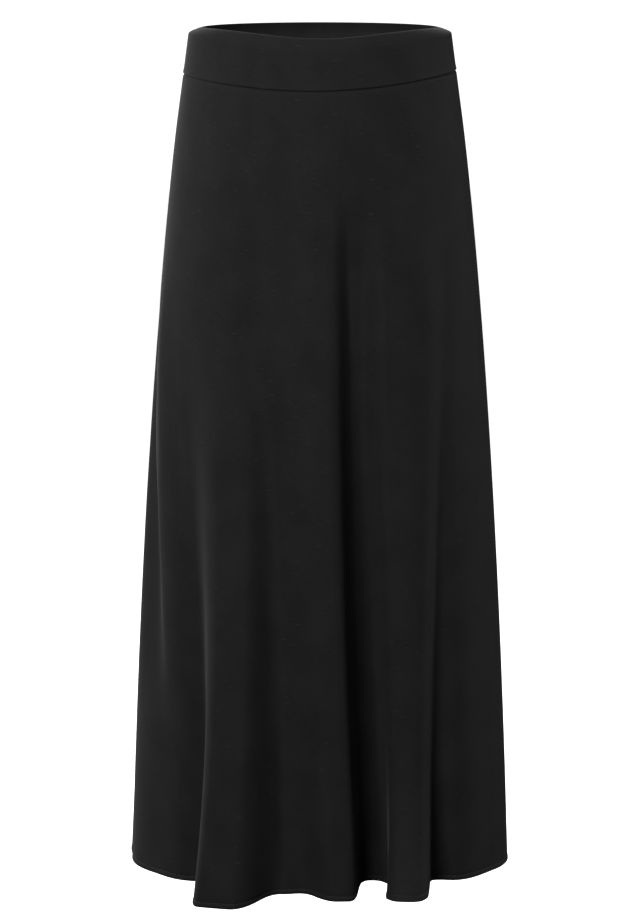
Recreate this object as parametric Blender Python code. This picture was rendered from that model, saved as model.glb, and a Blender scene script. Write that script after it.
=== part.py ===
"""A worn A-line midi skirt in jersey: two flared panels and a wide pull-on waistband, with no wearer.

Metres, +Z up, the front faces -Y. The origin is the centre of the waist opening, level with the top rim.
Every wall is built from plan sections: a smooth ring at each height, with the folds pushed out of it or
into it. The same functions give all four pieces, so their edges meet along the seams.
"""
from math import pi

import bmesh
import bpy
import numpy as np

# Driving dimensions
HEM_Z = -0.888          # the hem is level, 888 mm below the rim
BAND_SIDE = 0.047       # height of the waistband at the side seams
BAND_DIP = {"front": 0.0075, "back": 0.002}   # how much lower its seam runs at the centre
RIM_DIP = {"front": 0.0034, "back": 0.0010}   # how much lower the top rim runs at the centre
CLOTH = 0.0012          # wall of the panels
HEM_CLOTH = 0.0022      # wall where the hem is turned up inside
HEM_TURN = 0.007        # height of the turned hem
BAND_CLOTH = 0.0024     # wall of the folded, double waistband
ROLL = {"side": 0.008, "centre": 0.004}       # how far the top rim rolls inwards
ROLL_HEIGHT = 0.013     # height of the part of the waistband that rolls
GAP = 0.0003            # clearance between pieces at a seam
PANEL_COLUMNS = {"front": 64, "back": 56}
PANEL_ROWS = 20
BAND_COLUMNS = 40
BAND_ROWS = 4
RING_STEPS = 1600       # steps of each half of the smooth ring that the columns are read from
TURN_WEIGHT = 0.012     # how strongly the columns gather where the hem turns
FOLLOW_FROM = -0.45     # from here down the columns follow the folds fully
FIRST_GROWTH = 0.1      # share of a fold's length over which it comes up out of the smooth wall
RUNS_OUT = -9.0         # end height of a fold that runs off the hem

# The plan section at each height. Squareness 2 is an ellipse, and more is fuller at the corners.
SECTIONS = [
    # name,        z, half width, front depth, back depth, squareness
    ("waist",      0.000, 0.1345, 0.0975, 0.0970, 2.05),
    ("band seam", -0.050, 0.1412, 0.1050, 0.1040, 2.05),
    ("high hip",  -0.110, 0.1493, 0.1120, 0.1160, 2.10),
    ("hip",       -0.190, 0.1582, 0.1180, 0.1270, 2.15),
    ("thigh",     -0.304, 0.1688, 0.1215, 0.1320, 2.20),
    ("mid",       -0.450, 0.1799, 0.1190, 0.1300, 2.20),
    ("knee",      -0.604, 0.1894, 0.1140, 0.1260, 2.15),
    ("calf",      -0.769, 0.1973, 0.1080, 0.1190, 2.10),
    ("hem",       -0.888, 0.2018, 0.1050, 0.1150, 2.05),
]

# One row for each fold. It runs down from its start height, where its line is at x start, through x mid,
# to x hem. Left and right are its widths at the hem on either side of that line. Reach is how far it
# stands out there, and negative is a valley. Lean moves its crest along the wall, pinch draws its foot
# in under the crest, flat widens the crest, and a growth over 1 keeps it small for longer.
FOLDS = [
    # side, name, start z, end z, x start, x mid, x hem, left, right, reach, lean, pinch, flat, growth
    ("front", "side turn",   -0.36, -0.80, -.172, -.178, -.176, .034, .034, -.042, .000, .000, .00, 0.60),
    ("front", "left swell",  -0.45, RUNS_OUT, -.152, -.152, -.152, .034, .040, .008, .000, .000, .00, 1.00),
    ("front", "left lobe",   -0.30, RUNS_OUT, -.106, -.088, -.097, .036, .069, .081, .000, .006, .00, 1.10),
    ("front", "middle lobe", -0.16, RUNS_OUT, .000, .003, .024, .078, .024, .041, .005, .002, .05, 1.10),
    ("front", "deep fold",   -0.13, RUNS_OUT, .024, .027, .050, .014, .038, -.030, .002, .000, .20, 0.80),
    ("front", "right lobe",  -0.30, RUNS_OUT, .094, .088, .089, .025, .026, .055, -.008, .012, .10, 1.35),
    ("front", "right fold",  -0.28, RUNS_OUT, .120, .120, .122, .016, .024, -.006, .000, .000, .00, 0.60),
    ("back", "side flute",   -0.36, RUNS_OUT, -.172, -.180, -.185, .046, .050, .012, .000, .000, .00, 0.80),
    ("back", "left lobe",    -0.33, RUNS_OUT, -.120, -.112, -.118, .044, .050, .060, -.004, .004, .00, 1.20),
    ("back", "centre lobe",  -0.20, RUNS_OUT, -.030, -.034, -.040, .048, .056, .062, .006, .006, .06, 1.10),
    ("back", "centre fold",  -0.18, RUNS_OUT, .014, .014, .018, .030, .030, -.016, .000, .000, .00, 0.80),
    ("back", "right lobe",   -0.28, RUNS_OUT, .074, .070, .066, .040, .052, .058, .004, .006, .00, 1.20),
    ("back", "edge lobe",    -0.36, RUNS_OUT, .146, .148, .150, .036, .050, .034, .004, .002, .00, 1.20),
]


def clear_scene():
    for item in list(bpy.data.objects):
        bpy.data.objects.remove(item, do_unlink=True)


def smooth_column(table, heights, z):
    """A smooth curve through one column of a table, read at height z."""
    at = np.array(heights)[::-1]
    values = np.array(table)[::-1]
    slopes = np.gradient(values, at)
    i = int(np.clip(np.searchsorted(at, z) - 1, 0, len(at) - 2))
    step = at[i + 1] - at[i]
    t = (z - at[i]) / step
    rise = 3 * t**2 - 2 * t**3
    return (values[i] * (1 - rise) + values[i + 1] * rise
            + step * slopes[i] * (t - 2 * t**2 + t**3) + step * slopes[i + 1] * (t**3 - t**2))


def run_steps(points):
    """Distance from each point of a line to the next."""
    return np.linalg.norm(np.diff(points, axis=0), axis=1)


def run_lengths(points):
    """Distance along a line of points, from its first point."""
    return np.concatenate([[0.0], np.cumsum(run_steps(points))])


def half_ring(side, z):
    """Front or back half of the smooth ring at height z, left seam to right seam, in even steps."""
    _, heights, widths, fronts, backs, squares = zip(*SECTIONS)
    half_width = smooth_column(widths, heights, z)
    depth = -smooth_column(fronts, heights, z) if side == "front" else smooth_column(backs, heights, z)
    power = 2 / smooth_column(squares, heights, z)
    turn = np.linspace(0, pi, RING_STEPS + 1)
    x = -half_width * np.sign(np.cos(turn)) * np.abs(np.cos(turn)) ** power
    y = depth * np.abs(np.sin(turn)) ** power
    along = run_lengths(np.stack([x, y], axis=1))
    even = np.linspace(0, along[-1], RING_STEPS + 1)
    return np.stack([np.interp(even, along, x), np.interp(even, along, y)], axis=1)


def directions(ring):
    """Unit directions along a closed ring, whose last point is its first, and out of it."""
    along = np.roll(ring[:-1], -1, axis=0) - np.roll(ring[:-1], 1, axis=0)
    along = np.vstack([along, along[:1]])
    along /= np.linalg.norm(along, axis=1)[:, None]
    return along, np.stack([along[:, 1], -along[:, 0]], axis=1)


class Fold:
    """One row of FOLDS, with its line worked out as a share of its panel's width."""

    def __init__(self, side, name, start, end, x_start, x_mid, x_hem,
                 left, right, reach, lean, pinch, flat, growth):
        self.name, self.side, self.start, self.end = name, side, start, end
        self.left, self.right, self.flat = left, right, flat
        self.reach, self.lean, self.pinch, self.growth = reach, lean, pinch, growth
        self.line = [np.interp(x, half_ring(side, z)[:, 0], np.linspace(0, 1, RING_STEPS + 1))
                     for z, x in ((start, x_start), ((start + HEM_Z) / 2, x_mid), (HEM_Z, x_hem))]

    def grown(self, z):
        """0 at the fold's start height and 1 at the hem."""
        return float(np.clip((self.start - z) / (self.start - HEM_Z), 0, 1))

    def share(self, z):
        """Where its line crosses height z, as a share of the panel's width from the left seam."""
        u = self.grown(z)
        top, mid, hem = self.line
        return top * (1 - u) * (1 - 2 * u) + 4 * mid * u * (1 - u) + hem * u * (2 * u - 1)

    def size(self, z):
        u = self.grown(z)
        size = u**self.growth * (1 - np.exp(-((u / FIRST_GROWTH) ** 2)))
        if self.end > RUNS_OUT:
            size *= np.clip((z - self.end) / (self.start - self.end), 0, 1) ** 0.8
        return size

    def shift(self, z, place, front_length, length):
        """How far it moves each point of the ring outwards and sideways."""
        turn = 1 if self.side == "front" else -1
        if self.side == "front":
            line = self.share(z) * front_length
        else:
            line = length - self.share(z) * (length - front_length)
        away = turn * ((place - line + length / 2) % length - length / 2)
        q = np.clip(away / np.where(away < 0, self.left, self.right), -1, 1)
        flank = np.clip((np.abs(q) - self.flat) / (1 - self.flat), 0, 1)
        crest = 0.5 + 0.5 * np.cos(pi * flank)
        size = self.size(z)
        return size * self.reach * crest, turn * size * crest * (self.lean + self.pinch * np.sin(pi * q))


ALL_FOLDS = [Fold(*row) for row in FOLDS]


def folded_ring(z):
    """Halves of the whole folded ring at height z, and the outward direction at each of their points."""
    ring = np.vstack([half_ring("front", z), half_ring("back", z)[-2::-1]])
    place = run_lengths(ring)
    along, out = directions(ring)
    push, slide = 0, 0
    for fold in ALL_FOLDS:
        fold_push, fold_slide = fold.shift(z, place, place[RING_STEPS], place[-1])
        push = push + fold_push
        slide = slide + fold_slide
    wall = ring + out * push[:, None] + along * slide[:, None]
    out = directions(wall)[1]
    cut = RING_STEPS
    return {"front": (wall[:cut + 1], out[:cut + 1]), "back": (wall[cut:][::-1], out[cut:][::-1])}


def column_shares(side, count):
    """Column places at the hem, closer together where the folds turn."""
    line, out = folded_ring(HEM_Z)[side]
    turning = run_steps(out)
    weight = np.concatenate([[0], np.cumsum(run_steps(line) + TURN_WEIGHT * turning)])
    return np.interp(np.linspace(0, weight[-1], count + 1), weight, np.linspace(0, 1, RING_STEPS + 1))


def follow_folds(side, shares, z):
    """Moves the columns sideways to keep each at its place on its fold, and spaces them evenly at the top."""
    knots = sorted((fold.share(HEM_Z), fold.share(z)) for fold in ALL_FOLDS if fold.side == side)
    at_hem, here = zip(*knots)
    followed = np.interp(shares, (0, *at_hem, 1), (0, *here, 1))
    even = np.linspace(0, 1, len(shares))
    hold = np.clip(z / FOLLOW_FROM, 0, 1) ** 1.5
    return followed * hold + even * (1 - hold)


def wall_line(side, shares, z, drop, thickness):
    """Outer and inner lines of the wall round one half at height z, lowered by drop at each column."""
    here = np.linspace(0, 1, RING_STEPS + 1)
    probe = 0.01        # the lowered point is read on the line to a second ring, this far below
    lines = []
    for level in (z, z - probe):
        wall, out = folded_ring(level)[side]
        at = follow_folds(side, shares, level)
        lines.append([np.stack([np.interp(at, here, part[:, k]) for k in (0, 1)], axis=1)
                      for part in (wall, out)])
    (outer, out), (below, _) = lines
    outer = outer + (below - outer) * (drop / probe)[:, None]
    outer[:, 1] += (-1 if side == "front" else 1) * GAP / 2
    out[[0, -1]] = [[-1, 0], [1, 0]]    # square to the seams, so that the two edges lie side by side
    out /= np.linalg.norm(out, axis=1)[:, None]
    inner = outer - out * thickness
    height = (z - drop)[:, None]
    return np.hstack([outer, height]), np.hstack([inner, height])


def across(shares):
    """0 at the side seams and 1 at the centre."""
    return np.sin(pi * shares)


def panel_rows(side, count):
    """Outer and inner points of a panel, from the waistband seam down to the turned hem."""
    shares = column_shares(side, count)
    even = np.linspace(0, 1, count + 1)
    top = -BAND_SIDE - GAP / 2
    hem_top = HEM_Z + HEM_TURN
    levels = [(z, CLOTH) for z in np.linspace(top, hem_top + 0.001, PANEL_ROWS)]
    levels += [(hem_top - 0.001, HEM_CLOTH), (HEM_Z, HEM_CLOTH)]
    rows = []
    for z, thickness in levels:
        fade = (z - HEM_Z) / (top - HEM_Z)
        drop = BAND_DIP[side] * across(even) * fade**3
        rows.append(wall_line(side, shares, z, drop, thickness))
    return [np.array(grid) for grid in zip(*rows)]


def band_rows(side, count):
    """Outer and inner points of half of the waistband, from its seam up to the rounded fold at the rim."""
    even = np.linspace(0, 1, count + 1)
    round_off = BAND_CLOTH / 2
    bottom = -BAND_SIDE + GAP / 2
    heights = list(np.linspace(bottom, -round_off, BAND_ROWS + 1))
    heights += [-round_off * (1 - np.sin(turn)) for turn in (0.5, 1.0, 1.4)]
    rows = []
    for z in heights:
        up = (z - bottom) / -bottom
        drop = (BAND_DIP[side] * (1 - up) + RIM_DIP[side] * up) * across(even)
        outer, inner = wall_line(side, even, z, drop, BAND_CLOTH)
        roll = ROLL["side"] + (ROLL["centre"] - ROLL["side"]) * across(even)
        roll = roll * np.clip(1 + z / ROLL_HEIGHT, 0, 1) ** 1.6
        inwards = (inner - outer) / BAND_CLOTH * roll[:, None]
        outer, inner = outer + inwards, inner + inwards
        middle = (outer + inner) / 2
        left = np.sqrt(max(0.0, 1 - (max(0.0, z + round_off) / round_off) ** 2))
        rows.append((middle + (outer - middle) * left, middle + (inner - middle) * left))
    return [np.array(grid) for grid in zip(*rows)]


def cloth_material():
    """Black viscose jersey."""
    material = bpy.data.materials.new("black jersey")
    material.use_nodes = True
    shader = material.node_tree.nodes["Principled BSDF"]
    shader.inputs["Base Color"].default_value = (0.012, 0.012, 0.013, 1.0)
    shader.inputs["Roughness"].default_value = 0.85
    shader.inputs["Metallic"].default_value = 0.0
    return material


def add_wall(name, outer, inner, material):
    """One closed wall between an outer and an inner grid of points."""
    rows, columns = outer.shape[:2]
    mesh = bmesh.new()
    faces_of = []
    for grid in (outer, inner):
        faces_of.append([[mesh.verts.new(point) for point in row] for row in grid])
    skin, lining = faces_of
    for r in range(rows - 1):
        for c in range(columns - 1):
            for side in (skin, lining):
                mesh.faces.new((side[r][c], side[r][c + 1], side[r + 1][c + 1], side[r + 1][c]))
    for r in range(rows - 1):
        for c in (0, columns - 1):
            mesh.faces.new((skin[r][c], skin[r + 1][c], lining[r + 1][c], lining[r][c]))
    for c in range(columns - 1):
        for r in (0, rows - 1):
            mesh.faces.new((skin[r][c], skin[r][c + 1], lining[r][c + 1], lining[r][c]))
    bmesh.ops.recalc_face_normals(mesh, faces=mesh.faces)
    data = bpy.data.meshes.new(name)
    mesh.to_mesh(data)
    mesh.free()
    data.materials.append(material)
    data.shade_smooth()
    data.set_sharp_from_angle(angle=pi / 4)
    piece = bpy.data.objects.new(name, data)
    bpy.context.collection.objects.link(piece)
    return piece


def main():
    clear_scene()
    jersey = cloth_material()
    for side in ("front", "back"):
        add_wall(f"skirt_{side}", *panel_rows(side, PANEL_COLUMNS[side]), jersey)
        add_wall(f"waistband_{side}", *band_rows(side, BAND_COLUMNS), jersey)


main()
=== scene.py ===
# %% [markdown]
# # A black jersey midi skirt
#
# This lesson dresses a plain model of an A-line midi skirt. The skirt is worn, but its wearer isn't there:
# the jersey keeps the hollow shape of a body, and below the hips it falls into deep soft folds. The packed
# model already has the right sizes and the main folds. Here each of its four pieces gets a fine cloth
# surface, with a turned hem, seams, stitches and the look of a fine knit.

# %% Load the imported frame
from math import pi, radians

import bmesh
import bpy
import numpy as np
from mathutils import Euler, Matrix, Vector


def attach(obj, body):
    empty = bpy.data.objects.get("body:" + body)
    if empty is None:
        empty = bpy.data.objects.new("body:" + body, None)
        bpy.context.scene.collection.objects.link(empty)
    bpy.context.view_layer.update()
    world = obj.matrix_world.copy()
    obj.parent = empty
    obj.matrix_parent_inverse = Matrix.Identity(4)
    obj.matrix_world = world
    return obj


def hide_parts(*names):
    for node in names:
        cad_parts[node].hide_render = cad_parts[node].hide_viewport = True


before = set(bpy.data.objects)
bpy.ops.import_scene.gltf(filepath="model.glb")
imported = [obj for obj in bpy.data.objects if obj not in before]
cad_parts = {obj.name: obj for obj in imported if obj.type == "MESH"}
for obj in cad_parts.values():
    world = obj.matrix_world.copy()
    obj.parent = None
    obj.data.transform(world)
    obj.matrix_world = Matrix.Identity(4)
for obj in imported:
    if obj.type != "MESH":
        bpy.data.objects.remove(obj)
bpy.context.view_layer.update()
bpy.ops.object.select_all(action="DESELECT")
print("nodes to dress:", sorted(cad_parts))

# %% [markdown]
# ## The sizes of the skirt
#
# All lengths are metres, +Z is up and the front faces -Y. The origin is the centre of the waist opening. A
# named size is easier to change than a number in the middle of a formula, so the main sizes come first, as on
# a maker's size sheet.

# %% Named sizes
HEM_Z = -0.889          # the hem hangs level
BAND_SIDE = 0.044       # height of the waistband at the side seams
BAND_TILT = 0.0018      # how much longer it is at the left seam, and shorter at the right one
BAND_DIP = {"front": 0.0118, "back": 0.004}       # how much lower its seam runs at the centre
RIM_DIP = {"front": 0.0044, "back": 0.0010}       # how much lower the top rim runs at the centre
RIM_DIP_POWER = {"front": 6, "back": 1}           # a high power keeps that dip near the centre
RIM_RISE = {"front": 0.0022, "back": 0.0}         # how much higher the rim stands near the sides
ROLL = {"side": 0.012, "centre": 0.004}           # how far the top rim rolls inwards
ROLL_HEIGHT = {"side": 0.0055, "centre": 0.013}   # height of the part of the waistband that rolls
JERSEY = 0.0010         # thickness of one layer as drawn
HEM_JERSEY = 0.0020     # where the hem is turned up
BAND_JERSEY = 0.0024    # the waistband is folded double
HEM_TURN = 0.0068       # height of the turned hem
STITCH_LINE = 0.0056    # height of its stitches above the edge
RING_STEPS = 1600       # steps of each half of a ring
print("length", -HEM_Z, "m, waistband", BAND_SIDE, "m at the sides")

# %% [markdown]
# ## Rings round the body
#
# A skirt that is filled out has a smooth oval at each height, wider than it is deep. The table holds nine
# such ovals. Between them each size follows a smooth curve, so that the sides bow gently over the hips
# instead of running in straight steps from one row to the next.

# %% The table of ovals
SECTIONS = [
    # name,        z, half width, front depth, back depth, squareness
    ("waist",      0.000, 0.1345, 0.0975, 0.0970, 2.05),
    ("band seam", -0.050, 0.1412, 0.1050, 0.1040, 2.05),
    ("high hip",  -0.110, 0.1493, 0.1120, 0.1160, 2.10),
    ("hip",       -0.190, 0.1582, 0.1180, 0.1270, 2.15),
    ("thigh",     -0.304, 0.1688, 0.1215, 0.1320, 2.20),
    ("mid",       -0.450, 0.1799, 0.1190, 0.1300, 2.20),
    ("knee",      -0.604, 0.1894, 0.1140, 0.1260, 2.15),
    ("calf",      -0.769, 0.1973, 0.1080, 0.1190, 2.10),
    ("hem",       -0.889, 0.2018, 0.1050, 0.1150, 2.05),
]


def smooth_column(table, heights, z):
    """A smooth curve through one column of a table, read at height z."""
    at = np.array(heights)[::-1]
    values = np.array(table)[::-1]
    slopes = np.gradient(values, at)
    i = int(np.clip(np.searchsorted(at, z) - 1, 0, len(at) - 2))
    step = at[i + 1] - at[i]
    t = (z - at[i]) / step
    rise = 3 * t**2 - 2 * t**3
    return (values[i] * (1 - rise) + values[i + 1] * rise
            + step * slopes[i] * (t - 2 * t**2 + t**3) + step * slopes[i + 1] * (t**3 - t**2))


def run_steps(points):
    """Distance from each point of a line to the next."""
    return np.linalg.norm(np.diff(points, axis=0), axis=1)


def run_lengths(points):
    """Distance along a line of points, from its first point."""
    return np.concatenate([[0.0], np.cumsum(run_steps(points))])


def half_ring(side, z):
    """Front or back half of the smooth oval at height z, left seam to right seam, in even steps."""
    _, heights, widths, fronts, backs, squares = zip(*SECTIONS)
    half_width = smooth_column(widths, heights, z)
    depth = -smooth_column(fronts, heights, z) if side == "front" else smooth_column(backs, heights, z)
    power = 2 / smooth_column(squares, heights, z)
    turn = np.linspace(0, pi, RING_STEPS + 1)
    x = -half_width * np.sign(np.cos(turn)) * np.abs(np.cos(turn)) ** power
    y = depth * np.abs(np.sin(turn)) ** power
    along = run_lengths(np.stack([x, y], axis=1))
    even = np.linspace(0, along[-1], RING_STEPS + 1)
    return np.stack([np.interp(even, along, x), np.interp(even, along, y)], axis=1)


for name, z, *_ in (SECTIONS[1], SECTIONS[-1]):
    print("front half at the", name, "is", round(float(run_lengths(half_ring("front", z))[-1]), 3), "m round")

# %% [markdown]
# ## The big folds
#
# Jersey cut in a flare has more cloth at the hem than the oval needs, so it stands out in lobes with deep
# valleys between them. Each fold is a row of a table: it starts at a height, grows on its way down, and ends
# at the hem or before it. Seen from above its crest is a soft wave, and a steep left flank with a long right
# one makes the lobe lean as the real ones do. A cloth simulation could make folds too, but it wouldn't put
# them where the photo has them, so these are placed one by one.
#
# A row gives the heights where the fold starts and ends (None runs off the hem), then the x of its line at
# the start, half-way and at the hem. Next come the widths of its two flanks, near the start and at the hem,
# and its reach, which is how far it stands out. Lean moves its crest sideways, pinch spreads its flanks, flat
# is the share of its width that is level, and a growth above 1 makes it come up late.

# %% The table of folds
FRONT_FOLDS = [
    # name, start z, end z, x start, x mid, x hem, left top, left hem, right top, right hem,
    # reach, lean, pinch, flat, growth
    ("side ridge",  -.21, -.68, -.158, -.1567, -.145, .018, .028, .026,  .034,  .011,  .000,  .000, .00,  .5),
    ("side turn",   -.25, -.72, -.168, -.1775, -.174, .014, .060, .009,  .043, -.062,  .000,  .000, .00, 1.2),
    ("left swell",  -.45, None, -.142,  -.140, -.147, .040, .040, .030,  .030, .0045,  .000,  .000, .00,   1),
    ("left lobe",   -.26, None, -.096, -.0828, -.092, .062, .032, .040,  .056,  .080, -.001, .0085, .20, 1.3),
    ("left valley", -.35, None, -.044,  -.040, -.036, .030, .042, .034,  .030,  .023,  .000,  .000, .00, 1.8),
    ("middle lobe", -.16, None,  .001,  .0065,  .020, .078, .054, .026,  .026,  .046,  .004,  .002, .12,   1),
    ("deep fold",   -.13, None,  .032,  .0405,  .057, .020, .025, .034,  .028, -.018,  .002,  .000, .20,  .4),
    ("deep middle", -.13, -.92,  .032,  .0385,  .051, .020, .028, .030,  .028, -.044,  .002,  .000, .20,   1),
    ("right lobe",  -.30, None,  .090,   .088, .0885, .034, .017, .026, .0306,  .037, -.015,  .002, .75,  10),
    ("right edge",  -.12, None,  .100,  .1005, .0985, .060, .046, .034,  .024,  .020,  .000,  .000, .00, .75),
    ("right fold",  -.28, None,  .124,   .122,  .122, .012, .014, .020,  .024, -.006,  .000,  .000, .00,  .8),
    ("right swell", -.45, None,  .150,   .150,  .152, .030, .030, .040,  .040,  .005,  .000,  .000, .00,   1),
]
BACK_FOLDS = [
    ("side flute",  -.45, None, -.172,  -.178, -.185, .050, .050, .050,  .050,  .015,  .000,  .000, .00,  .6),
    ("left lobe",   -.33, None, -.120,  -.112, -.118, .044, .044, .050,  .050,  .060, -.004,  .004, .00, 1.2),
    ("centre lobe", -.20, None, -.030,  -.034, -.040, .048, .048, .056,  .056,  .062,  .006,  .006, .06, 1.1),
    ("centre fold", -.18, None,  .014,   .014,  .018, .030, .030, .030,  .030, -.016,  .000,  .000, .00,  .8),
    ("right lobe",  -.28, None,  .074,   .070,  .066, .040, .040, .052,  .052,  .058,  .004,  .006, .00, 1.2),
    ("edge lobe",   -.36, None,  .146,   .148,  .150, .036, .036, .050,  .050,  .034,  .004,  .002, .00, 1.2),
]
print(len(FRONT_FOLDS), "folds in front and", len(BACK_FOLDS), "at the back")

# %% How a fold works
FIRST_GROWTH = 0.1      # share of a fold's length over which it comes up out of the smooth wall
END_FADE = 0.8          # how soon a fold that ends above the hem dies away


class Fold:
    """One row of a table of folds, with its line worked out as a share of its panel's width."""

    def __init__(self, side, name, start, end, x_start, x_mid, x_hem,
                 left_top, left_hem, right_top, right_hem, reach, lean, pinch, flat, growth):
        self.side, self.name, self.start, self.end = side, name, start, end
        self.left, self.right, self.flat = (left_top, left_hem), (right_top, right_hem), flat
        self.reach, self.lean, self.pinch, self.growth = reach, lean, pinch, growth
        self.line = [np.interp(x, half_ring(side, z)[:, 0], np.linspace(0, 1, RING_STEPS + 1))
                     for z, x in ((start, x_start), ((start + HEM_Z) / 2, x_mid), (HEM_Z, x_hem))]

    def grown(self, z):
        """0 at the fold's start height and 1 at the hem."""
        return float(np.clip((self.start - z) / (self.start - HEM_Z), 0, 1))

    def share(self, z):
        """Where its line crosses height z, as a share of the panel's width from the left seam."""
        u = self.grown(z)
        top, mid, hem = self.line
        return top * (1 - u) * (1 - 2 * u) + 4 * mid * u * (1 - u) + hem * u * (2 * u - 1)

    def size(self, z):
        """How much of its reach it has at height z."""
        u = self.grown(z)
        size = u**self.growth * (1 - np.exp(-((u / FIRST_GROWTH) ** 2)))
        if self.end is not None:
            size *= np.clip((z - self.end) / (self.start - self.end), 0, 1) ** END_FADE
        return size

    def shift(self, z, place, front_length, length):
        """How far it moves each point of the ring outwards and sideways."""
        turn = 1 if self.side == "front" else -1
        if self.side == "front":
            line = self.share(z) * front_length
        else:
            line = length - self.share(z) * (length - front_length)
        away = turn * ((place - line + length / 2) % length - length / 2)
        u = self.grown(z)
        left, right = (top + (hem - top) * u for top, hem in (self.left, self.right))
        q = np.clip(away / np.where(away < 0, left, right), -1, 1)
        flank = np.clip((np.abs(q) - self.flat) / (1 - self.flat), 0, 1)
        crest = 0.5 + 0.5 * np.cos(pi * flank)
        size = self.size(z)
        return size * self.reach * crest, turn * size * crest * (self.lean + self.pinch * np.sin(pi * q))


ALL_FOLDS = [Fold("front", *row) for row in FRONT_FOLDS] + [Fold("back", *row) for row in BACK_FOLDS]
deepest = max(ALL_FOLDS, key=lambda fold: abs(fold.reach))
print("the deepest is the", deepest.side, deepest.name, "with", deepest.reach, "m")

# %% [markdown]
# ## Fine creases
#
# Between the big folds the jersey is not quite smooth: faint ridges and troughs one to three millimetres deep
# run down it and fade out at both ends. Only the one that opens the valley beside the left lobe is deeper,
# and it runs off the hem. They are placed one by one, uneven in length and spacing, and they are soft,
# because this cloth is limp and has no sharp press marks.

# %% The table of creases
CREASES = [
    # side, z top, z bottom, x top, x bottom, half width, height
    ("front", -.055, -.200, .088, .100, .014, -.0008),
    ("front", -.340, -.600, .118, .122, .010, -.0012),
    ("front", -.420, -.700, -.150, -.146, .010, .0010),
    ("front", -.200, -.430, -.060, -.072, .018, -.0009),
    ("front", -.460, None, -.056, -.059, .012, -.0095),
    ("front", -.480, -.860, .146, .150, .012, .0012),
    ("front", -.250, -.520, -.030, -.022, .020, .0010),
    ("front", -.200, -.820, .012, .018, .030, .0026),
    ("back", -.070, -.260, -.080, -.092, .018, -.0010),
    ("back", -.300, -.640, .110, .116, .012, -.0014),
    ("back", -.240, -.560, -.070, -.078, .014, -.0012),
    ("back", -.420, -.820, .030, .034, .012, .0012),
    ("back", -.360, -.700, -.146, -.150, .012, .0012),
]
CREASE_TAIL = 0.12      # how far below the hem a crease that runs off it would end


def crease_push(z, place, x, front_length):
    """How far the creases push each point of the ring outwards at height z."""
    push = 0
    for side, top, bottom, x_top, x_bottom, half_width, height in CREASES:
        end = HEM_Z - CREASE_TAIL if bottom is None else bottom
        t = (top - z) / (top - end)
        if not 0 < t < 1:
            continue
        here = (place <= front_length) if side == "front" else (place > front_length)
        away = (x - (x_top + (x_bottom - x_top) * t)) / half_width
        push = push + here * height * np.sin(pi * t) ** 2 * np.exp(-away**2)
    return push


print(len(CREASES), "fine creases")

# %% [markdown]
# ## The folded ring
#
# Every point of the oval moves outwards by the folds and creases that reach it, and a little sideways where
# a fold leans. Front and back are worked out as one closed ring, so a fold may cross a side seam and the
# edges of the two panels still meet.

# %% Folds on the ring
def directions(ring):
    """Unit directions along a closed ring, whose last point is its first, and out of it."""
    along = np.roll(ring[:-1], -1, axis=0) - np.roll(ring[:-1], 1, axis=0)
    along = np.vstack([along, along[:1]])
    along /= np.linalg.norm(along, axis=1)[:, None]
    return along, np.stack([along[:, 1], -along[:, 0]], axis=1)


def folded_ring(z):
    """Halves of the whole folded ring at height z, and the outward direction at each of their points."""
    ring = np.vstack([half_ring("front", z), half_ring("back", z)[-2::-1]])
    place = run_lengths(ring)
    along, out = directions(ring)
    push, slide = crease_push(z, place, ring[:, 0], place[RING_STEPS]), 0
    for fold in ALL_FOLDS:
        fold_push, fold_slide = fold.shift(z, place, place[RING_STEPS], place[-1])
        push = push + fold_push
        slide = slide + fold_slide
    wall = ring + out * np.reshape(push, (-1, 1)) + along * slide[:, None]
    out = directions(wall)[1]
    cut = RING_STEPS
    return {"front": (wall[:cut + 1], out[:cut + 1]), "back": (wall[cut:][::-1], out[cut:][::-1])}


print("hem of the front panel:", round(float(run_lengths(folded_ring(HEM_Z)["front"][0])[-1]), 3), "m")

# %% [markdown]
# ## Columns and rows of the cloth
#
# A panel is a grid of points. Its rows go round the body and its columns run down with the folds, so that
# a crest is one unbroken column of points and catches the light as one clean line. Columns are packed
# closer where the hem turns sharply and beside the seams, and rows are closer at the hem and at the waist.

# %% Where the columns go
PANEL_COLUMNS = {"front": 262, "back": 236}   # how many steps a panel is divided into
TURN_WEIGHT = 0.014     # how strongly the columns gather where the hem turns
FOLLOW_FROM = -0.45     # from here down the columns follow the folds fully
FOLLOW_EASE = 1.5       # how gently they begin to follow them above it
SEAM_SHARES = (0.0, 0.0009, 0.0020, 0.0034, 0.0054)   # extra columns beside each side seam
SEAM_CLEAR = 1.4        # the next column is at least this many times further in


def beside_seams(middle):
    """The other columns with the close ones beside the two side seams."""
    return np.concatenate([SEAM_SHARES, middle, 1 - np.array(SEAM_SHARES)[::-1]])


def column_shares(side):
    """Column places at the hem, closer together where the folds turn."""
    line, out = folded_ring(HEM_Z)[side]
    weight = np.concatenate([[0], np.cumsum(run_steps(line) + TURN_WEIGHT * run_steps(out))])
    steps = np.linspace(0, weight[-1], PANEL_COLUMNS[side] + 1)
    even = np.interp(steps, weight, np.linspace(0, 1, RING_STEPS + 1))
    margin = SEAM_CLEAR * SEAM_SHARES[-1]
    return beside_seams(even[(even > margin) & (even < 1 - margin)])


def shares_at_top(shares):
    """Nearly even columns, which keep the close ones beside the seams."""
    inner = np.linspace(SEAM_SHARES[-1], 1 - SEAM_SHARES[-1], len(shares) - 2 * len(SEAM_SHARES) + 2)
    return np.concatenate([shares[:len(SEAM_SHARES)], inner[1:-1], shares[-len(SEAM_SHARES):]])


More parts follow.
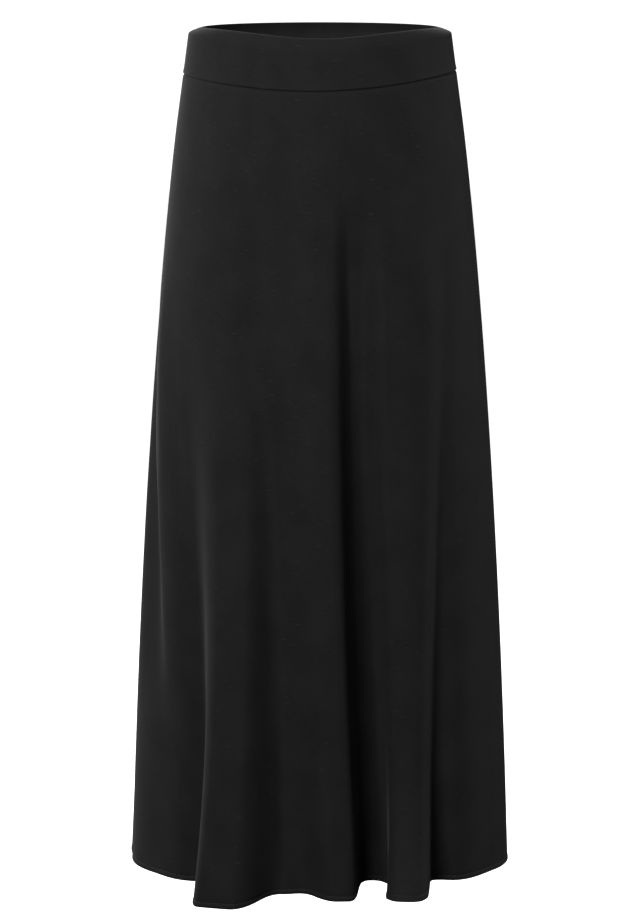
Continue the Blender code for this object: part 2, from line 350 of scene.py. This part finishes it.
def follow_folds(side, shares, z):
    """Moves the columns sideways to keep each at its place on its fold, and spaces them evenly at the top."""
    knots = sorted((fold.share(HEM_Z), fold.share(z)) for fold in ALL_FOLDS if fold.side == side)
    at_hem, here = zip(*knots)
    followed = np.interp(shares, (0, *at_hem, 1), (0, *here, 1))
    hold = np.clip(z / FOLLOW_FROM, 0, 1) ** FOLLOW_EASE
    return followed * hold + shares_at_top(shares) * (1 - hold)


front_shares = column_shares("front")
print("columns of the front panel:", len(front_shares))

# %% The wall at one height
PROBE = 0.01            # how far below a level the wall is read again, to see how it slopes


def across(shares):
    """0 at the side seams and 1 at the centre."""
    return np.sin(pi * shares)


def wall_line(side, shares, z, drop):
    """Points of the outer face round one half at height z, lowered by drop, and their outward directions."""
    here = np.linspace(0, 1, RING_STEPS + 1)
    lines = []
    for level in (z, z - PROBE):
        wall, out = folded_ring(level)[side]
        at = follow_folds(side, shares, level)
        lines.append([np.stack([np.interp(at, here, part[:, k]) for k in (0, 1)], axis=1)
                      for part in (wall, out)])
    (outer, out), (below, _) = lines
    outer = outer + (below - outer) * (drop / PROBE)[:, None]
    # At the side seams both halves face straight sideways, so their edges meet with no gap
    out[[0, -1]] = [[-1, 0], [1, 0]]
    out /= np.linalg.norm(out, axis=1)[:, None]
    flat = np.zeros((len(shares), 1))
    return np.hstack([outer, (z - drop)[:, None]]), np.hstack([out, flat])


front_hem = wall_line("front", front_shares, HEM_Z, np.zeros(len(front_shares)))[0]
print("the hem is", round(float(front_hem[-1, 0] - front_hem[0, 0]), 3), "m wide between its seams")

# %% [markdown]
# ## A cloth wall
#
# The panel is a thin closed shell: an outer grid, an inner grid and the strips that join their edges. A
# Solidify modifier could thicken a single sheet, but with two grids each edge gets its own rounding and
# thickness. The shell also gets a map of the flat cloth, in metres, so that the knit keeps its real size and
# follows the drape. The map runs sideways from the panel's centre line and downwards from its top edge.
# Outside it starts high up and inside it starts below zero, so that a material can tell the two faces apart.

# %% Build a wall from two grids
CENTRE_MAP = 0.5                        # where the panel's centre line is on the cloth map
OUTSIDE_MAP, INSIDE_MAP = 0.95, -0.05   # height on the cloth map of the top edge, outside and inside
SHARP_EDGE = radians(60)                # edges that turn more than this are drawn sharp


def add_cloth(name, outer, inner):
    """One closed wall between an outer and an inner grid, with the flat cloth as its UV map."""
    rows, columns = outer.shape[:2]
    mesh = bmesh.new()
    cloth_map = mesh.loops.layers.uv.new("cloth")
    width = np.array([run_lengths(row) for row in outer])
    width = width - width[:, columns // 2][:, None]
    down = run_lengths(outer[:, columns // 2])
    place = {}
    skin, lining = [], []
    for grid, layer, first in ((outer, skin, OUTSIDE_MAP), (inner, lining, INSIDE_MAP)):
        for r in range(rows):
            layer.append([mesh.verts.new(point) for point in grid[r]])
            for c in range(columns):
                place[layer[r][c]] = (CENTRE_MAP + width[r, c], first - down[r])

    def face(*corners):
        made = mesh.faces.new(corners)
        for loop in made.loops:
            loop[cloth_map].uv = place[loop.vert]

    for r in range(rows - 1):
        for c in range(columns - 1):
            for layer in (skin, lining):
                face(layer[r][c], layer[r][c + 1], layer[r + 1][c + 1], layer[r + 1][c])
    for r in range(rows - 1):
        for c in (0, columns - 1):
            face(skin[r][c], skin[r + 1][c], lining[r + 1][c], lining[r][c])
    for c in range(columns - 1):
        for r in (0, rows - 1):
            face(skin[r][c], skin[r][c + 1], lining[r][c + 1], lining[r][c])
    bmesh.ops.recalc_face_normals(mesh, faces=mesh.faces)
    data = bpy.data.meshes.new(name)
    mesh.to_mesh(data)
    mesh.free()
    data.shade_smooth()
    data.set_sharp_from_angle(angle=SHARP_EDGE)
    piece = bpy.data.objects.new(name, data)
    bpy.context.collection.objects.link(piece)
    triangles = sum(len(polygon.vertices) - 2 for polygon in data.polygons)
    print(name, "has", triangles, "triangles")
    return piece


print("a wall is", OUTSIDE_MAP, "high on the map outside and", INSIDE_MAP, "inside")

# %% [markdown]
# ## The two panels
#
# Where a seam pulls the cloth in, a panel dips under: by 1.6 mm along the waistband and by 0.7 mm at the
# sides. At the bottom the hem is turned up inside and stitched down: the turned part is a little puffed and
# twice as thick, and the stitches draw a fine groove into it.

# %% The shape of a hem and a seam
PUFF, PUFF_HEIGHT = 0.0006, 0.0060   # how far the turned hem swells, and the height of the swelling
PUFF_FULLNESS = 0.8                  # under 1 the swelling is fuller than a plain wave
GROOVE = 0.0007                      # depth and half width of the groove under the stitches
WAIST_TUCK = (0.0016, 0.0020)        # depth of the dip at the waistband's seam, and its reach
SIDE_TUCK = (0.0007, 0.0014)         # the same at the side seams


def hem_face(above):
    """How far the outer face of the hem stands out, by height above its edge."""
    puff = PUFF * np.sin(pi * np.clip(above / PUFF_HEIGHT, 0, 1)) ** PUFF_FULLNESS
    groove = GROOVE * np.exp(-(((above - STITCH_LINE) / GROOVE) ** 2))
    return puff - groove


def seam_tuck(away, depth, reach):
    """How far cloth is pulled in at a distance from a seam."""
    return depth * np.exp(-((away / reach) ** 2))


def side_tuck(face):
    """How far the points of a row are pulled in by the side seams at its two ends."""
    run = run_lengths(face)
    return seam_tuck(np.minimum(run, run[-1] - run), *SIDE_TUCK)


def seam_drop(side, shares):
    """How much lower the waistband's seam runs than at a level side seam."""
    return BAND_DIP[side] * across(shares) ** 2 + BAND_TILT * np.cos(pi * shares)


print("the hem swells by", round(1000 * float(hem_face(PUFF_HEIGHT / 2)), 2), "mm")

# %% Panel surfaces
ROW_STEP = 0.0055       # distance between two rows of the plain cloth
HEM_ROWS = (0.0, 0.0004, 0.0010, 0.0020, 0.0034, 0.0046, 0.0053,
            0.0057, 0.0062, 0.0068, 0.0074, 0.0085, 0.0105, 0.0135)   # close rows above the hem's edge
WAIST_ROWS = (0.0, 0.0006, 0.0014, 0.0024, 0.0040, 0.0065)            # and below the waistband's seam


def panel_grids(side):
    """Outer and inner points of a panel, in rows from its top edge down to its hem."""
    shares = column_shares(side)
    top = -BAND_SIDE
    body = np.arange(HEM_Z + HEM_ROWS[-1] + ROW_STEP, top - WAIST_ROWS[-1] - ROW_STEP / 2, ROW_STEP)
    levels = [*(HEM_Z + np.array(HEM_ROWS)), *body, *(top - np.array(WAIST_ROWS)[::-1])]
    outer, inner = [], []
    for z in levels:
        above = z - HEM_Z
        fade = above / (top - HEM_Z)
        drop = seam_drop(side, shares_at_top(shares)) * fade**3
        face, out = wall_line(side, shares, z, drop)
        push = hem_face(above) - seam_tuck(top - z, *WAIST_TUCK) - side_tuck(face)
        half = (HEM_JERSEY if above < HEM_TURN else JERSEY) / 2
        rounded = np.sqrt(max(0.0, 1 - (1 - min(above / half, 1)) ** 2))
        middle = face + out * (push - half)[:, None]
        outer.append(middle + out * half * rounded)
        inner.append(middle - out * half * rounded)
    return np.array(outer)[::-1], np.array(inner)[::-1]


panels = {side: add_cloth(f"jersey_{side}", *panel_grids(side)) for side in ("front", "back")}

# %% [markdown]
# ## The waistband
#
# The waistband is one strip, folded double over soft elastic. Its top fold is round and rolls inwards, most
# at the sides, where the band bends round the body. Its lower edge stands slightly proud of the panel that
# is sewn under it.

# %% Waistband surfaces
BAND_COLUMNS = 190
BAND_CLEAR = 0.009      # share of the width beside a seam that has only the close columns
BAND_ROWS = 30          # even rows of its flat part
FIRST_ROW = 0.0034      # height above the lower edge where they start
EDGE_ROUND = 0.0009     # rounding of the lower edge
EDGE_ROWS = (0.0, 0.0003, 0.0007, 0.0013, 0.0022)   # close rows above that edge
RIM_TURNS = (0.35, 0.7, 1.0, 1.25, 1.45)            # angles, in radians, of the rows that round the top fold
ROLL_EASE = 1.8         # how gently the rim begins to roll
LIP = 0.0005            # how far the lower edge stands proud
LIP_HEIGHT = 0.004      # how high above it that fades


def band_grids(side):
    """Outer and inner points of half the waistband, in rows from its rim down to its lower edge."""
    shares = np.linspace(0, 1, BAND_COLUMNS - 2 * len(SEAM_SHARES) + 2)[1:-1]
    shares = beside_seams(shares[(shares > BAND_CLEAR) & (shares < 1 - BAND_CLEAR)])
    half = BAND_JERSEY / 2
    bottom = -BAND_SIDE
    heights = [bottom + step for step in EDGE_ROWS]
    heights += list(np.linspace(bottom + FIRST_ROW, -half, BAND_ROWS))
    heights += [-half * (1 - np.sin(turn)) for turn in RIM_TURNS]
    centred = across(shares)
    rim_drop = RIM_DIP[side] * centred ** RIM_DIP_POWER[side]
    rim_drop = rim_drop - RIM_RISE[side] * 4 * centred * (1 - centred)
    roll, roll_height = (size["side"] + (size["centre"] - size["side"]) * centred
                         for size in (ROLL, ROLL_HEIGHT))
    outer, inner = [], []
    for z in heights:
        up = (z - bottom) / -bottom
        drop = seam_drop(side, shares) * (1 - up) + rim_drop * up
        face, out = wall_line(side, shares, z, drop)
        rolled = roll * np.clip(1 + z / roll_height, 0, 1) ** ROLL_EASE
        lip = LIP * np.exp(-(((z - bottom) / LIP_HEIGHT) ** 2))
        rounded = np.sqrt(max(0.0, 1 - (max(0.0, z + half) / half) ** 2))
        edge = 1 - np.sqrt(max(0.0, 1 - (1 - min((z - bottom) / EDGE_ROUND, 1)) ** 2))
        middle = face + out * (lip - rolled - side_tuck(face) - half)[:, None]
        outer.append(middle + out * (half * rounded - EDGE_ROUND * edge))
        inner.append(middle - out * half * rounded)
    return np.array(outer)[::-1], np.array(inner)[::-1]


bands = {side: add_cloth(f"band_{side}", *band_grids(side)) for side in ("front", "back")}

# %% [markdown]
# ## Stitches along the hem
#
# The hem is held by a row of short stitches in black thread, a few millimetres above its edge. A bump in the
# material could hint at them, but real pieces catch the light and are part of the meshes. One stitch is
# modelled from a small sphere, drawn out and flattened. Then a copy is laid at each place along the hem,
# turned along the cloth, and all the copies of a panel become one mesh.

# %% One stitch
STITCH = 0.0024         # length of a stitch
THREAD = 0.0004         # thickness of the thread
THREAD_WIDTH = 1.3      # how many times wider than thick it lies

bpy.ops.mesh.primitive_uv_sphere_add(segments=8, ring_count=5, radius=0.5)
stitch = bpy.context.object
stitch.name = "stitch_pattern"
stitch.scale = (STITCH, THREAD, THREAD * THREAD_WIDTH)
bpy.ops.object.transform_apply(location=False, rotation=False, scale=True)
stitch_points = np.array([vert.co for vert in stitch.data.vertices])
stitch_faces = [tuple(polygon.vertices) for polygon in stitch.data.polygons]
bpy.data.objects.remove(stitch, do_unlink=True)
print("one stitch has", len(stitch_points), "points")

# %% A row of stitches
STITCH_STEP = 0.0033    # distance from one stitch to the next
ROW_END = 0.003         # where the row stops, before each side seam
HEM_POINTS = 1600       # points along the hem between which the stitches are placed
LOOK_AHEAD = 0.001      # how far along the hem its direction is read
STAND_OFF = 0.15        # share of the thread's thickness by which its middle lies above the cloth


def add_stitches(side):
    """A row of stitches along the outer face of one panel's hem."""
    shares = np.linspace(0, 1, HEM_POINTS)
    face, out = wall_line(side, shares, HEM_Z + STITCH_LINE, np.zeros(len(shares)))
    face = face + out * hem_face(STITCH_LINE)
    run = run_lengths(face)
    places = np.arange(ROW_END, run[-1] - ROW_END, STITCH_STEP)
    points, faces = [], []
    for at in places:
        centre, ahead, outward = (np.array([np.interp(at + step, run, values[:, k]) for k in range(3)])
                                  for step, values in ((0, face), (LOOK_AHEAD, face), (0, out)))
        forward = ahead - centre
        forward /= np.linalg.norm(forward)
        axes = np.array([forward, outward, [0, 0, 1]])
        first = len(points) * len(stitch_points)
        points.append(centre + stitch_points @ axes + outward * THREAD * STAND_OFF)
        faces += [tuple(first + corner for corner in corners) for corners in stitch_faces]
    data = bpy.data.meshes.new(f"hem_stitches_{side}")
    data.from_pydata(np.concatenate(points).tolist(), [], faces)
    data.shade_smooth()
    row = bpy.data.objects.new(f"hem_stitches_{side}", data)
    bpy.context.collection.objects.link(row)
    print(row.name, "has", len(places), "stitches")
    return row


stitches = {side: add_stitches(side) for side in ("front", "back")}

# %% [markdown]
# ## Black jersey
#
# The cloth is a fine black knit. It is matt, with a soft sheen where it is seen along the surface, because
# tiny fibres stand up from it. A picture of real jersey could be wrapped round the skirt, but a pattern made
# of shader nodes has no edges and no blur close up. A few small helpers keep that short: each adds one kind
# of node and hands back what comes out of it. Every pattern reads the cloth map, so it follows the folds.

# %% Helpers for shader nodes
def add_node(tree, kind, sockets=None, **settings):
    """A shader node, with its settings and the plain values of its sockets."""
    made = tree.nodes.new(kind)
    for key, value in settings.items():
        setattr(made, key, value)
    for socket, value in (sockets or {}).items():
        made.inputs[socket].default_value = value
    return made


def cloth_place(tree):
    """The place on the flat cloth, in metres."""
    return add_node(tree, "ShaderNodeUVMap", uv_map="cloth").outputs["UV"]


def scaled_place(tree, scale_x, scale_y):
    """The same, with a scale of its own across the ribs and along them."""
    mapping = add_node(tree, "ShaderNodeMapping", {"Scale": (scale_x, scale_y, 1)})
    tree.links.new(cloth_place(tree), mapping.inputs["Vector"])
    return mapping.outputs["Vector"]


def add_noise(tree, scale_x, scale_y, detail):
    """Cloudy noise, drawn out along the direction with the smaller scale."""
    noise = add_node(tree, "ShaderNodeTexNoise", {"Scale": 1.0, "Detail": detail})
    tree.links.new(scaled_place(tree, scale_x, scale_y), noise.inputs["Vector"])
    return noise.outputs["Fac"]


def add_range(tree, value, low, high, at_low=0.0, at_high=1.0):
    """A value that goes from at_low to at_high while another goes from low to high, and holds beyond them."""
    spans = {"From Min": low, "From Max": high, "To Min": at_low, "To Max": at_high}
    made = add_node(tree, "ShaderNodeMapRange", spans)
    tree.links.new(value, made.inputs["Value"])
    return made.outputs["Result"]


def lay_over(tree, under, over, factor):
    """A plain colour laid over another one as strongly as the factor says."""
    mix = add_node(tree, "ShaderNodeMix", {"B": over}, data_type="RGBA")
    tree.links.new(factor, mix.inputs["Factor"])
    tree.links.new(under, mix.inputs["A"])
    return mix.outputs["Result"]


print("the shader helpers are ready")

# %% [markdown]
# ## Colour and relief of the knit
#
# The black is not quite even. There are slow clouds of tone, and here and there the yarn is thicker or
# thinner for a centimetre, which makes a short light or dark dash across the ribs. The dashes are one noise,
# stretched across the ribs, of which only the peaks and the dips are kept. The inside of the cloth is painted
# lighter than the outside: painted light, standing in for the light the lamps hardly bring inside the skirt.
# The relief is the knit itself: upright ribs crossed by short rows.

# %% The colour of the knit
CLOUD_COLOURS = ((0.0105, 0.0105, 0.0107, 1), (0.0140, 0.0140, 0.0142, 1))
CLOUD_SPAN = (0.3, 0.7)   # the part of the noise over which the tone changes
CLOUD_SCALE = (30, 22)    # for clouds a few centimetres wide
THICK_YARN = (0.024, 0.024, 0.0243, 1)
THIN_YARN = (0.0065, 0.0065, 0.0066, 1)
# Painted light: the inside faces are painted this many times lighter, because the lamps hardly reach them.
INSIDE_PAINTED_LIGHT = 1.5         # how many times lighter the inside is
MAP_EDGE = 0.01           # the cloth map is lower than this inside, and higher outside


def jersey_colour(tree, thick, thin):
    """Clouds of black with dashes of thick and thin yarn, and painted light that makes the inside lighter."""
    clouds = add_node(tree, "ShaderNodeValToRGB")
    for stop, colour, position in zip(clouds.color_ramp.elements, CLOUD_COLOURS, CLOUD_SPAN):
        stop.color = colour
        stop.position = position
    tree.links.new(add_noise(tree, *CLOUD_SCALE, 3.0), clouds.inputs["Fac"])
    colour = lay_over(tree, clouds.outputs["Color"], THICK_YARN, thick)
    colour = lay_over(tree, colour, THIN_YARN, thin)
    height = add_node(tree, "ShaderNodeSeparateXYZ")
    tree.links.new(cloth_place(tree), height.inputs["Vector"])
    # Painted light: where the cloth map says inside, the colour is scaled lighter.
    inside = add_range(tree, height.outputs["Y"], 0.0, MAP_EDGE, INSIDE_PAINTED_LIGHT, 1.0)
    with_painted_light = add_node(tree, "ShaderNodeVectorMath", operation="SCALE")
    tree.links.new(colour, with_painted_light.inputs["Vector"])
    tree.links.new(inside, with_painted_light.inputs["Scale"])
    return with_painted_light.outputs["Vector"]


print("the inside is", INSIDE_PAINTED_LIGHT, "times lighter")

# %% The relief of the knit
KNIT_WAVES = (("X", 350, 0.6), ("Y", 450, 0.8))   # ribs and rows: direction, scale and distortion
KNIT_BUMP = {"Strength": 0.25, "Distance": 0.0002}


def knit_relief(tree, thick):
    """Ribs and rows, each under a millimetre, with the thick yarn standing out."""
    waves = []
    for direction, scale, distortion in KNIT_WAVES:
        wave = add_node(tree, "ShaderNodeTexWave", {"Scale": 1.0, "Distortion": distortion},
                        wave_type="BANDS", bands_direction=direction)
        tree.links.new(scaled_place(tree, scale, scale), wave.inputs["Vector"])
        waves.append(wave.outputs["Fac"])
    knit = add_node(tree, "ShaderNodeMath", operation="MULTIPLY_ADD")
    for socket, value in zip(knit.inputs, (*waves, thick)):
        tree.links.new(value, socket)
    bump = add_node(tree, "ShaderNodeBump", KNIT_BUMP)
    tree.links.new(knit.outputs["Value"], bump.inputs["Height"])
    return bump.outputs["Normal"]


print("the knit is", KNIT_BUMP["Distance"], "m deep")

# %% [markdown]
# ## The finished jersey
#
# Panels and waistband are cut from the same cloth. Each has a material of its own, because the record names
# two finishes. Values that are the same all over are set on the main shader itself.

# %% The jersey
MATT = {"Roughness": 0.80, "Specular IOR Level": 0.12, "Sheen Weight": 0.05, "Sheen Roughness": 0.45}
DASH_SCALE = (110, 620)                    # for dashes nine millimetres long and under two high
PEAKS, DIPS = (0.66, 0.80), (0.34, 0.22)   # the parts of their noise that are thick or thin yarn


def new_material(name, values):
    """A material with plain values on its main shader."""
    material = bpy.data.materials.new(name)
    material.use_nodes = True
    shader = material.node_tree.nodes["Principled BSDF"]
    for socket, value in values.items():
        shader.inputs[socket].default_value = value
    print("made", name)
    return material


def black_jersey(name):
    """The matt black knit."""
    material = new_material(name, MATT)
    tree = material.node_tree
    shader = tree.nodes["Principled BSDF"]
    dashes = add_noise(tree, *DASH_SCALE, 1.0)
    thick = add_range(tree, dashes, *PEAKS)
    thin = add_range(tree, dashes, *DIPS)
    tree.links.new(jersey_colour(tree, thick, thin), shader.inputs["Base Color"])
    tree.links.new(knit_relief(tree, thick), shader.inputs["Normal"])
    return material


jersey = black_jersey("black jersey")
band_jersey = black_jersey("black waistband jersey")

# %% [markdown]
# ## The thread
#
# Sewing thread is twisted tight, so it is smoother than the knit and shines a little more. A stitch is only
# two millimetres long, so one even colour with less roughness is enough for it.

# %% The thread's material
thread = new_material("black thread", {"Base Color": (0.02, 0.02, 0.021, 1), "Roughness": 0.45})

# %% [markdown]
# ## Put the pieces in the frame
#
# Each new piece takes over from its plain node and rides on the same body. The panels and the halves of the
# band are sheets, and a panel is narrower at the waist than at the hem.

for side in ("front", "back"):
    panel, band, row = panels[side], bands[side], stitches[side]
    panel.data.materials.append(jersey)
    band.data.materials.append(band_jersey)
    row.data.materials.append(thread)
    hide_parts(f"skirt_{side}")
    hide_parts(f"waistband_{side}")
    for piece, slot in ((panel, "jersey"), (band, "band_jersey"), (row, "jersey")):
        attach(piece, "root")
    print(side, "is in the frame")

# %% [markdown]
# ## The camera
#
# The photo is a studio picture on white. The camera stands a few metres away, a little above the waist, and
# looks slightly down, so that the inside of the back shows above the rim. The lens is long, because a short
# one from close by would make the hem look too narrow.

# %% The camera
CAMERA_LENS = 135.92            # millimetres
CAMERA_PLACE = (0, -3.6, 0.26)
CAMERA_TILT = 11.2304           # degrees below level

camera_data = bpy.data.cameras.new("camera")
camera_data.lens = CAMERA_LENS
camera = bpy.data.objects.new("camera", camera_data)
camera.location = CAMERA_PLACE
camera.rotation_euler = Euler((radians(90 - CAMERA_TILT), 0, 0))
bpy.context.collection.objects.link(camera)
bpy.context.scene.camera = camera
print("camera looks down by", CAMERA_TILT, "degrees")

# %% [markdown]
# ## The floor
#
# The skirt hangs in the air and the photo shows no floor and no shadow. So the floor is a white plane far
# below the hem that glows by itself. It is hidden from the light that bounces between surfaces, or it would
# light the folds from below.

# %% The floor
FLOOR_SIZE = 14
FLOOR_PLACE = (0, 2, -1.25)     # the skirt hangs clear of it

bpy.ops.mesh.primitive_plane_add(size=FLOOR_SIZE, location=FLOOR_PLACE)
floor = bpy.context.object
floor.name = "floor"
glow = {"Base Color": (0.9, 0.9, 0.9, 1), "Roughness": 0.9,
        "Emission Color": (1, 1, 1, 1), "Emission Strength": 1.0}
floor.data.materials.append(new_material("pale floor", glow))
floor.visible_diffuse = False
floor.visible_glossy = False
print("floor at", floor.location.z)

# %% [markdown]
# ## The lights
#
# Black cloth shows its folds only by the light that slides over them. The main light stands high in front
# and a little to the left. Weaker ones at the sides draw a thin bright line down both edges, and those behind
# keep the back from sinking into black. All of them are big and flat, because a small light would draw hard
# shadows.

# %% The lights
LIGHT_DISTANCE = 3.2
LIGHT_SIZE = (1.2, 2.2)         # width and height
LIGHT_AIM = Vector((0, 0, -0.45))
LIGHTS = [
    # name, azimuth, elevation, watts
    ("key", -22, 30, 87),
    ("high key", -30, 55, 7),
    ("fill", 45, 10, 9),
    ("left edge", -108, 10, 42),
    ("high left", -110, 48, 15),
    ("back left", -150, 10, 23),
    ("right edge", 105, 10, 28),
    ("high right", 100, 50, 17),
    ("back", 180, 40, 45),
]


def soft_light(name, azimuth, elevation, watts):
    """A big flat light that faces the middle of the skirt. Azimuth 0 is in front and 90 is at the right."""
    turn, rise = radians(azimuth), radians(elevation)
    away = Vector((np.sin(turn) * np.cos(rise), -np.cos(turn) * np.cos(rise), np.sin(rise)))
    data = bpy.data.lights.new(name, "AREA")
    data.shape = "RECTANGLE"
    data.size, data.size_y = LIGHT_SIZE
    data.energy = watts
    light = bpy.data.objects.new(name, data)
    light.location = LIGHT_AIM + away * LIGHT_DISTANCE
    light.rotation_euler = (-away).to_track_quat("-Z", "Y").to_euler()
    bpy.context.collection.objects.link(light)


for light_row in LIGHTS:
    soft_light(*light_row)
print(len(LIGHTS), "soft lights")

# %% [markdown]
# ## The background
#
# The background is pure white, but if all of its light reached the cloth, the black would look grey. So there
# are two: a bright one that only the camera sees, and a very dim one for everything else.

# %% The white background
SEEN_STRENGTH = 1.2     # of the background that the camera sees
LIT_STRENGTH = 0.01     # of the light that it sheds on the cloth

world = bpy.data.worlds.new("white studio")
world.use_nodes = True
bpy.context.scene.world = world
sky = world.node_tree
white = {"Color": (1, 1, 1, 1)}
seen = add_node(sky, "ShaderNodeBackground", white | {"Strength": SEEN_STRENGTH})
lit = add_node(sky, "ShaderNodeBackground", white | {"Strength": LIT_STRENGTH})
pick = add_node(sky, "ShaderNodeMixShader")
path = add_node(sky, "ShaderNodeLightPath")
sky.links.new(path.outputs["Is Camera Ray"], pick.inputs["Fac"])
sky.links.new(lit.outputs["Background"], pick.inputs[1])
sky.links.new(seen.outputs["Background"], pick.inputs[2])
sky.links.new(pick.outputs["Shader"], sky.nodes["World Output"].inputs["Surface"])
bpy.context.scene.view_settings.view_transform = "Standard"
print("the background is white")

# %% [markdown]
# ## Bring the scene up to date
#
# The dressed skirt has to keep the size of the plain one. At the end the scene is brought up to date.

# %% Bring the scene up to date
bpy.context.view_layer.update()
